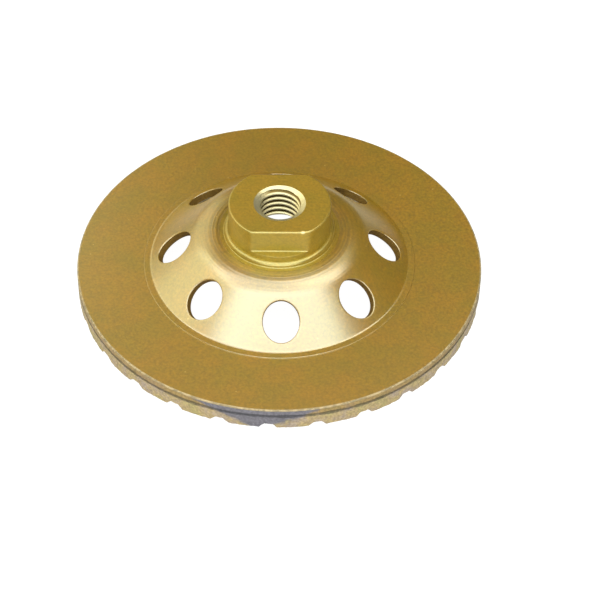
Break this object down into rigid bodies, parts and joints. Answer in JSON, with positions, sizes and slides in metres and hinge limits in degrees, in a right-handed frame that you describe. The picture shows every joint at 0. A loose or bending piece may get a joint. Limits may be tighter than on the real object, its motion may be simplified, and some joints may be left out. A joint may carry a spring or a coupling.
{
  "type": "diamond cup wheel",
  "caption": "Grinding cup wheel: pressed steel cup with oval air holes, threaded hub with two spanner flats, and a sintered turbo ring under the rim.",
  "frame": {"origin": "centre of the grinding face, on the spindle axis", "axes": "+Z along the spindle axis, from the grinding face up to the hub; the spanner flats face -Y and +Y; one air hole faces -Y"},
  "size_m": [0.125, 0.125, 0.0315],
  "materials": {
    "cup_coat": "satin gold spray over pressed steel",
    "hub_coat": "satin gold spray over turned steel",
    "rim_coat": "sintered metal with diamond grit, thinly sprayed and rubbed"
  },
  "bodies": {
    "root": {"cup": "cup_coat", "threaded_hub": "hub_coat", "turbo_rim": "rim_coat"}
  },
  "joints": []
}
